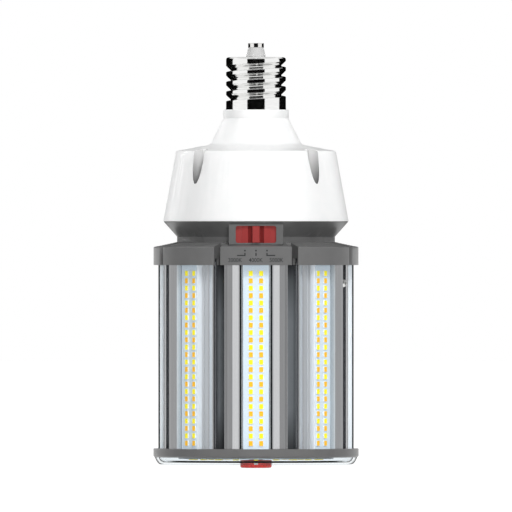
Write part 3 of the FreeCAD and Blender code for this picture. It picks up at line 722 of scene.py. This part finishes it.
cup_rings = [
    (PACKAGE_W, PACKAGE_H, 0.0), (PACKAGE_W, PACKAGE_H, PACKAGE_T - 0.08),
    (PACKAGE_W - 0.12, PACKAGE_H - 0.12, PACKAGE_T), (WINDOW_W, WINDOW_H, PACKAGE_T),
    (WINDOW_W - 0.3, WINDOW_H - 0.3, PACKAGE_T - 0.25)]
fill_rings = [
    (WINDOW_W, WINDOW_H, PACKAGE_T - 0.22), (WINDOW_W - 0.04, WINDOW_H - 0.04, PACKAGE_T - 0.06),
    (WINDOW_W - 0.9, WINDOW_H - 0.9, PACKAGE_T - 0.015)]
cup = stack_rings("package_cup", cup_rings, cup_plastic)
fill = stack_rings("package_fill", fill_rings, cool_phosphor)
print(size_words(cup), "/", size_words(fill))

# %% The tree that repeats a package
def make_array_tree():
    tree = bpy.data.node_groups.new("Packages round the lamp", "GeometryNodeTree")
    sockets = [
        ("Package", "Object"), ("Rows", "Int"), ("Row pitch", "Float"), ("First height", "Float"),
        ("Column offset", "Float"), ("Board radius", "Float"), ("Boards", "Int"), ("Finish", "Material")]
    for name, kind in sockets:
        tree.interface.new_socket(name, in_out="INPUT", socket_type="NodeSocket" + kind)
    tree.interface.new_socket("Geometry", in_out="OUTPUT", socket_type="NodeSocketGeometry")
    given = add(tree, "NodeGroupInput").outputs
    drop = add(tree, "ShaderNodeMath", {0: given["Row pitch"], 1: -1.0}, operation="MULTIPLY").outputs[0]
    step = add(tree, "ShaderNodeCombineXYZ", {"Z": drop}).outputs[0]
    out = add(tree, "ShaderNodeMath", {0: given["Board radius"], 1: -1.0}, operation="MULTIPLY").outputs[0]
    columns = []
    for side in (-1.0, 1.0):
        across = {0: given["Column offset"], 1: side}
        across = add(tree, "ShaderNodeMath", across, operation="MULTIPLY").outputs[0]
        start = {"X": across, "Y": out, "Z": given["First height"]}
        start = add(tree, "ShaderNodeCombineXYZ", start).outputs[0]
        line = {"Count": given["Rows"], "Start Location": start, "Offset": step}
        columns.append(add(tree, "GeometryNodeMeshLine", line).outputs[0])
    pair = add(tree, "GeometryNodeJoinGeometry")
    for column in columns:
        tree.links.new(column, pair.inputs[0])
    shape = add(tree, "GeometryNodeObjectInfo", {"Object": given["Package"]}).outputs["Geometry"]
    board = {"Points": pair.outputs[0], "Instance": shape}
    board = add(tree, "GeometryNodeInstanceOnPoints", board).outputs[0]
    # As many points as boards, all on the lamp's axis, each with its own turn.
    centre = add(tree, "GeometryNodeMeshLine", {"Count": given["Boards"], "Offset": (0, 0, 0)}).outputs[0]
    number = add(tree, "GeometryNodeInputIndex").outputs[0]
    share = add(tree, "ShaderNodeMath", {0: number, 1: given["Boards"]}, operation="DIVIDE").outputs[0]
    angle = add(tree, "ShaderNodeMath", {0: share, 1: 2 * math.pi}, operation="MULTIPLY").outputs[0]
    turn = add(tree, "ShaderNodeCombineXYZ", {"Z": angle}).outputs[0]
    whole = {"Points": centre, "Instance": board, "Rotation": turn}
    whole = add(tree, "GeometryNodeInstanceOnPoints", whole).outputs[0]
    real = add(tree, "GeometryNodeRealizeInstances", {"Geometry": whole}).outputs[0]
    done = add(tree, "GeometryNodeSetMaterial", {"Geometry": real, "Material": given["Finish"]}).outputs[0]
    add(tree, "NodeGroupOutput", {"Geometry": done})
    return tree


array_tree = make_array_tree()
print("array tree:", len(array_tree.nodes), "nodes")

# %% [markdown]
# The rows alternate: the first row of every board is cool, the second warm. So each colour is its own
# array, two pitches apart, and a warm array starts one pitch lower. The board face is read from the frame.

# %% Set out the packages
ROW_PITCH = 4.8
ROWS_OF_A_COLOUR = 12
FIRST_ROW = -106.7
COLUMN_OFFSET = 3.36
BOARDS = 8
board_face = -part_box("led_board_1")[0].y / MM


def repeat(name, package, first, finish):
    piece = show(name, bpy.data.meshes.new(name))
    array = piece.modifiers.new("array", "NODES")
    array.node_group = array_tree
    values = {
        "Package": package, "Rows": ROWS_OF_A_COLOUR, "Row pitch": 2 * ROW_PITCH * MM,
        "First height": first * MM, "Column offset": COLUMN_OFFSET * MM, "Board radius": board_face * MM,
        "Boards": BOARDS, "Finish": finish}
    for item in array_tree.interface.items_tree:
        if item.in_out == "INPUT":
            array[item.identifier] = values[item.name]
    return plain(piece)


arrays = [
    ("cool_cups", cup, FIRST_ROW, cup_plastic, "cool_phosphor", ("cool_white_leds",)),
    ("warm_cups", cup, FIRST_ROW - ROW_PITCH, cup_plastic, "warm_phosphor", ("warm_white_leds",)),
    ("cool_fills", fill, FIRST_ROW, cool_phosphor, "cool_phosphor", ()),
    ("warm_fills", fill, FIRST_ROW - ROW_PITCH, warm_phosphor, "warm_phosphor", ())]
for name, package, first, finish, slot, replaced in arrays:
    piece = repeat(name, package, first, finish)
    settle(piece, slot, LAMP, *replaced)
    print(size_words(piece))
for used in (cup, fill):
    bpy.data.objects.remove(used)

# %% [markdown]
# ## Printed marks
# Under the slider the front lobe of the cap carries a printed scale: three dots, three leader lines and the
# colour temperatures. A print is a film with no body, so each mark is a flat sheet drawn upright and then
# wrapped round the lobe, four hundredths of a millimetre proud of it. Text is made a mesh first.

# %% Draw and wrap the scale
LOBE_R = 66.8
PRINT_LIFT = 0.04
DOT_X = (-7.2, 0.0, 7.15)
DOT_Z = (-92.4, -91.4)
LEADER_Z = (-95.4, -93.4)
FOOT_Z = (-95.4, -94.7)
NUMBER_X = (-13.6, -0.1, 13.4)
NUMBER_Z = -99.35
NUMBER_SIZE = (9.1, 2.7)


def flat_rectangle(mesh, x0, x1, heights, parts=6):
    low = [mesh.verts.new((x0 + (x1 - x0) * i / parts, 0, heights[0])) for i in range(parts + 1)]
    high = [mesh.verts.new((v.co.x, 0, heights[1])) for v in low]
    for i in range(parts):
        mesh.faces.new((low[i], low[i + 1], high[i + 1], high[i]))


def wrap(data, radius):
    for vertex in data.vertices:
        angle = vertex.co.x / radius
        vertex.co = (radius * math.sin(angle) * MM, -radius * math.cos(angle) * MM, vertex.co.z * MM)


def add_print(name, data, radius, finish, slot, body):
    wrap(data, radius)
    data.materials.clear()
    data.materials.append(finish)
    return settle(show(name, data), slot, body)


def make_scale_lines():
    mesh = bmesh.new()
    for x in DOT_X:
        flat_rectangle(mesh, x - 0.5, x + 0.5, DOT_Z, 2)
        flat_rectangle(mesh, x - 0.4, x + 0.4, LEADER_Z, 2)
    flat_rectangle(mesh, DOT_X[0] - 5.2, DOT_X[0] - 0.4, FOOT_Z)
    flat_rectangle(mesh, DOT_X[2] + 0.4, DOT_X[2] + 5.4, FOOT_Z)
    data = close_mesh(mesh, "scale_lines")
    return add_print("scale_lines", data, LOBE_R + PRINT_LIFT, dark_ink, "dark_grey_plastic", LAMP)


def make_number(words, centre):
    curve = bpy.data.curves.new("number", "FONT")
    curve.body = words
    curve.align_x = "CENTER"
    curve.resolution_u = 3
    curve.offset = 0.005
    holder = show("number", curve)
    bpy.context.view_layer.update()
    data = bpy.data.meshes.new_from_object(holder)
    bpy.data.objects.remove(holder)
    xs = [v.co.x for v in data.vertices]
    ys = [v.co.y for v in data.vertices]
    wide, high = NUMBER_SIZE
    for v in data.vertices:
        x = (v.co.x - (max(xs) + min(xs)) / 2) * wide / (max(xs) - min(xs)) + centre
        v.co = (x, 0, (v.co.y - min(ys)) * high / (max(ys) - min(ys)) + NUMBER_Z)
    return add_print("scale_" + words, data, LOBE_R + PRINT_LIFT, dark_ink, "dark_grey_plastic", LAMP)


print(size_words(make_scale_lines()))
print([size_words(make_number(*row)) for row in zip(("3000K", "4000K", "5000K"), NUMBER_X)])

# %% [markdown]
# The power knob carries a white pointer dot, printed on the front of its rim, that shows which power is
# set. It is wrapped in the same way, and rides the knob's body, so that it turns with it.

# %% Pointer dot on the power knob
POINTER_R = 10.23
POINTER_HALF = 1.35
POINTER_Z = (-231.4, -230.2)


def make_pointer():
    mesh = bmesh.new()
    flat_rectangle(mesh, -POINTER_HALF, POINTER_HALF, POINTER_Z)
    data = close_mesh(mesh, "pointer")
    return add_print("pointer_dot", data, POINTER_R, white_ink, "red_plastic", "power_knob")


print(size_words(make_pointer()))

# %% [markdown]
# ## Finishes for the pieces that stay as they are
# Boards, plates, screws and the driver's parts keep their CAD meshes, since their shapes are right and only
# small parts of them show. Each gets the finish of its real material.

# %% Assign the remaining finishes
kept = {
    "end_board": solder_mask, "end_leds": cool_phosphor, "top_plate": black_anodise,
    "bottom_plate": grey_anodise, "core_tube": core_painted_shade, "earth_tab": black_anodise,
    "color_switch": black_abs, "power_switch": black_abs, "color_switch_board": green_mask,
    "driver_board": green_mask, "transformer_core": ferrite, "transformer_winding": tape,
    "capacitors": sleeve, "line_choke": ferrite, "driver_heat_plate": clear_anodise}
for name in nodes:
    if name.startswith("led_board"):
        kept[name] = solder_mask
    if name.endswith("screws") or name in ("earth_screw", "earth_nut"):
        kept[name] = zinc
for name, material in kept.items():
    nodes[name].data.materials.clear()
    nodes[name].data.materials.append(material)
left = [n for n in nodes if n not in kept and not nodes[n].hide_render]
print("finished:", len(kept), "left over:", left)

# %% [markdown]
# ## Studio
# The photograph is a product shot on white. The backdrop and floor are white by their own colour, told
# apart by the kind of ray, so the lamps can stay at a plain level. What the bright metal shows is a matter
# of its own: to rays that come off a glossy surface the room is a ring of panels. There is a narrow bright
# panel straight in front with a dark one at each side of it, then greys towards the sides and white behind.
# Each flat of a bar looks another way and so mirrors another panel, which draws the facets apart.

# %% The ring of panels
# Bearing from the front in degrees, and brightness, alike on both sides.
PANELS = [
    (0, 0.86), (4.5, 0.86), (7.5, 0.12), (20, 0.12), (27, 0.28), (41, 0.3), (46, 0.44), (60, 0.47),
    (98, 0.4), (125, 0.6), (152, 0.95), (180, 1.0)]


def seen_by_mirror(tree):
    ray = add(tree, "ShaderNodeLightPath").outputs
    both = {0: ray["Is Glossy Ray"], 1: ray["Is Transmission Ray"]}
    return add(tree, "ShaderNodeMath", both, operation="MAXIMUM").outputs[0]


def panel_light(tree, way, sign):
    parts = add(tree, "ShaderNodeSeparateXYZ", {0: way}).outputs
    front = add(tree, "ShaderNodeMath", {0: parts["Y"], 1: -sign}, operation="MULTIPLY").outputs[0]
    turn = add(tree, "ShaderNodeMath", {0: parts["X"], 1: front}, operation="ARCTAN2").outputs[0]
    turn = add(tree, "ShaderNodeMath", {0: turn}, operation="ABSOLUTE").outputs[0]
    turn = add(tree, "ShaderNodeMath", {0: turn, 1: math.pi}, operation="DIVIDE").outputs[0]
    return grey_steps(tree, turn, [(degrees / 180, bright) for degrees, bright in PANELS]), parts["Z"]


print("panels:", len(PANELS))

# %% [markdown]
# The floor lies under the knob. The eye sees a white of its own, mixed with a matt grey that takes the
# lamp's shadow. A mirror sees the panels in it at a shallow angle, as if they stood far off, and plain
# white when it looks down steeply. From below the floor is clear, so that the end lens can be seen. The
# world beyond is white to the eye, the ring of panels to a mirror, and a weak even light to everything
# else.

# %% Floor and world
FLOOR_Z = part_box("power_knob")[0].z
FLOOR_HALF = 14.0
FLOOR_OWN_WHITE = 0.8
FLOOR_LEVEL = 1.26
ROOM_LEVEL = 0.25


def make_floor_finish():
    material, tree = bare_material("White studio floor")
    ray = add(tree, "ShaderNodeLightPath").outputs
    mirror = seen_by_mirror(tree)
    place = add(tree, "ShaderNodeNewGeometry").outputs
    panels, slope = panel_light(tree, place["Incoming"], -1.0)
    steep = add(tree, "ShaderNodeMapRange", {"Value": slope, "From Min": 0.1, "From Max": 0.4}).outputs[0]
    flat = add(tree, "ShaderNodeMath", {0: 1.0, 1: steep}, operation="SUBTRACT").outputs[0]
    flat = add(tree, "ShaderNodeMath", {0: flat, 1: mirror}, operation="MULTIPLY").outputs[0]
    share = {0: ray["Is Camera Ray"], 1: FLOOR_OWN_WHITE}
    share = add(tree, "ShaderNodeMath", share, operation="MULTIPLY").outputs[0]
    share = add(tree, "ShaderNodeMath", {0: share, 1: mirror}, operation="MAXIMUM").outputs[0]
    matt = add(tree, "ShaderNodeBsdfDiffuse", {"Color": paint("#9a9a9a")}).outputs[0]
    pale = {"Color": paint("#ffffff"), "Strength": FLOOR_LEVEL}
    pale = add(tree, "ShaderNodeEmission", pale).outputs[0]
    far = add(tree, "ShaderNodeEmission", {"Color": panels, "Strength": 1.0}).outputs[0]
    glow = add(tree, "ShaderNodeMixShader", {0: flat, 1: pale, 2: far}).outputs[0]
    top = add(tree, "ShaderNodeMixShader", {0: share, 1: matt, 2: glow}).outputs[0]
    glass = add(tree, "ShaderNodeBsdfTransparent").outputs[0]
    sheet = add(tree, "ShaderNodeMixShader", {0: place["Backfacing"], 1: top, 2: glass}).outputs[0]
    add(tree, "ShaderNodeOutputMaterial", {"Surface": sheet})
    return material


def make_floor():
    corners = [(x * FLOOR_HALF, y * FLOOR_HALF, FLOOR_Z) for x, y in ((-1, -1), (1, -1), (1, 1), (-1, 1))]
    data = bpy.data.meshes.new("floor")
    data.from_pydata(corners, [], [(0, 1, 2, 3)])
    data.materials.append(make_floor_finish())
    show("floor", data)


def make_world(level):
    world = bpy.data.worlds.new("White studio")
    world.use_nodes = True
    tree = world.node_tree
    tree.nodes.clear()
    ray = add(tree, "ShaderNodeLightPath").outputs
    ring, _ = panel_light(tree, add(tree, "ShaderNodeTexCoord").outputs["Generated"], 1.0)
    room = add(tree, "ShaderNodeBackground", {"Color": paint("#ffffff"), "Strength": level})
    panels = add(tree, "ShaderNodeBackground", {"Color": ring, "Strength": 1.0})
    pale = add(tree, "ShaderNodeBackground", {"Color": paint("#ffffff"), "Strength": 1.0})
    lit = {0: seen_by_mirror(tree), 1: room.outputs[0], 2: panels.outputs[0]}
    lit = add(tree, "ShaderNodeMixShader", lit).outputs[0]
    both = add(tree, "ShaderNodeMixShader", {0: ray["Is Camera Ray"], 1: lit, 2: pale.outputs[0]})
    add(tree, "ShaderNodeOutputWorld", {"Surface": both.outputs[0]})
    bpy.context.scene.world = world


make_floor()
make_world(ROOM_LEVEL)
print("floor at", round(FLOOR_Z / MM, 1), "mm")

# %% [markdown]
# Four soft boxes: a broad one high up, a little to the right in front, whose light the housing keeps from
# the neck under it, and a low flat one that reaches the knob below the ring. One behind each side grazes
# the round parts, the left one more strongly. Their mirror images are left out, since the panels already
# give the metal its reflections.

# %% Soft boxes
AIM = Vector((0, 0, -0.095))


def soft_box(name, azimuth, elevation, distance, size, level):
    data = bpy.data.lights.new(name, "AREA")
    data.shape = "RECTANGLE"
    data.size, data.size_y = size
    # A level of 1 lights a facing white surface as white.
    data.energy = level * (math.pi * distance) ** 2
    lamp = show(name, data)
    turn, rise = math.radians(azimuth), math.radians(elevation)
    flat = math.cos(rise) * distance
    lamp.location = AIM + Vector((math.sin(turn) * flat, -math.cos(turn) * flat, math.sin(rise) * distance))
    lamp.rotation_euler = (AIM - lamp.location).to_track_quat("-Z", "Y").to_euler()
    lamp.visible_glossy = False
    return lamp


soft_boxes = [
    soft_box("high", 14, 46, 2.8, (1.0, 1.0), 0.62),
    soft_box("low", 4, 0.5, 3.2, (0.7, 0.22), 0.52),
    soft_box("left_back", -135, 8, 2.2, (0.5, 1.4), 1.7),
    soft_box("right_back", 135, 8, 2.2, (0.5, 1.4), 1.0)]
print("soft boxes, watts:", [round(lamp.data.energy, 1) for lamp in soft_boxes])

# %% [markdown]
# Round the thread stands a ring of curved cards: a tall white one, and before it black ones in front and
# behind. Only reflections see them. Since the black cards are hardly taller than the shell, only upright
# metal shows black, so the crests and the plain band get the hard bands of a studio shot while the slanting
# flanks stay bright. The two behind reach down beside the housing too, where they lay a thin grey outline
# round the white plastic, which would be lost before the white room.

# %% Cards round the thread
def curved_card(name, start, end, radius, low, high, finish):
    steps = 16
    points = []
    for z in (low, high):
        for i in range(steps + 1):
            turn = math.radians(start + (end - start) * i / steps)
            points.append((radius * math.sin(turn), -radius * math.cos(turn), z))
    faces = [(i, i + 1, steps + 2 + i, steps + 1 + i) for i in range(steps)]
    data = bpy.data.meshes.new(name)
    data.from_pydata(points, [], faces)
    data.materials.append(finish)
    card = show(name, data)
    for kind in ("camera", "diffuse", "shadow", "transmission"):
        setattr(card, "visible_" + kind, False)
    return card


def make_card_finish(name, colour):
    material, tree = bare_material(name)
    glow = add(tree, "ShaderNodeEmission", {"Color": paint(colour), "Strength": 1.0})
    add(tree, "ShaderNodeOutputMaterial", {"Surface": glow.outputs[0]})
    return material


card_black = make_card_finish("Black card", "#060606")
card_white = make_card_finish("White card", "#ffffff")
WHITE_R, BLACK_R = 0.095, 0.09
SHELL_FOOT, HOUSING_FOOT = -0.018, -0.088
for side in (-1, 1):
    curved_card(f"white_card_{side}", 0, side * 180, WHITE_R, SHELL_FOOT, 0.13, card_white)
    curved_card(f"black_card_{side}", side * 92, side * 178, BLACK_R, HOUSING_FOOT, 0.075, card_black)
front_card = curved_card("black_card_front", -30.4, 30.4, BLACK_R, SHELL_FOOT, 0.075, card_black)
print("cards:", card_white.name, "/", card_black.name, "/", size_words(front_card))

# %% [markdown]
# ## Camera
# The photograph shows the lamp level and with hardly any perspective: a long lens from far away. The frame
# is 333.8 mm wide at the lamp's axis, which sets the focal length for the distance.

# %% Place the camera
DISTANCE = 14.0
FRAME_WIDTH = 333.8
EYE_Z = -95.4


def make_camera():
    data = bpy.data.cameras.new("camera")
    data.sensor_width = 36
    data.lens = data.sensor_width * DISTANCE / (FRAME_WIDTH * MM)
    camera = show("camera", data)
    camera.location = (0, -DISTANCE, EYE_Z * MM)
    camera.rotation_euler = (math.radians(90), 0, 0)
    data.clip_start, data.clip_end = 0.1, 100
    bpy.context.scene.camera = camera
    return camera


camera = make_camera()
bpy.context.scene.view_settings.view_transform = "Standard"
print("lens, mm:", round(camera.data.lens, 1))
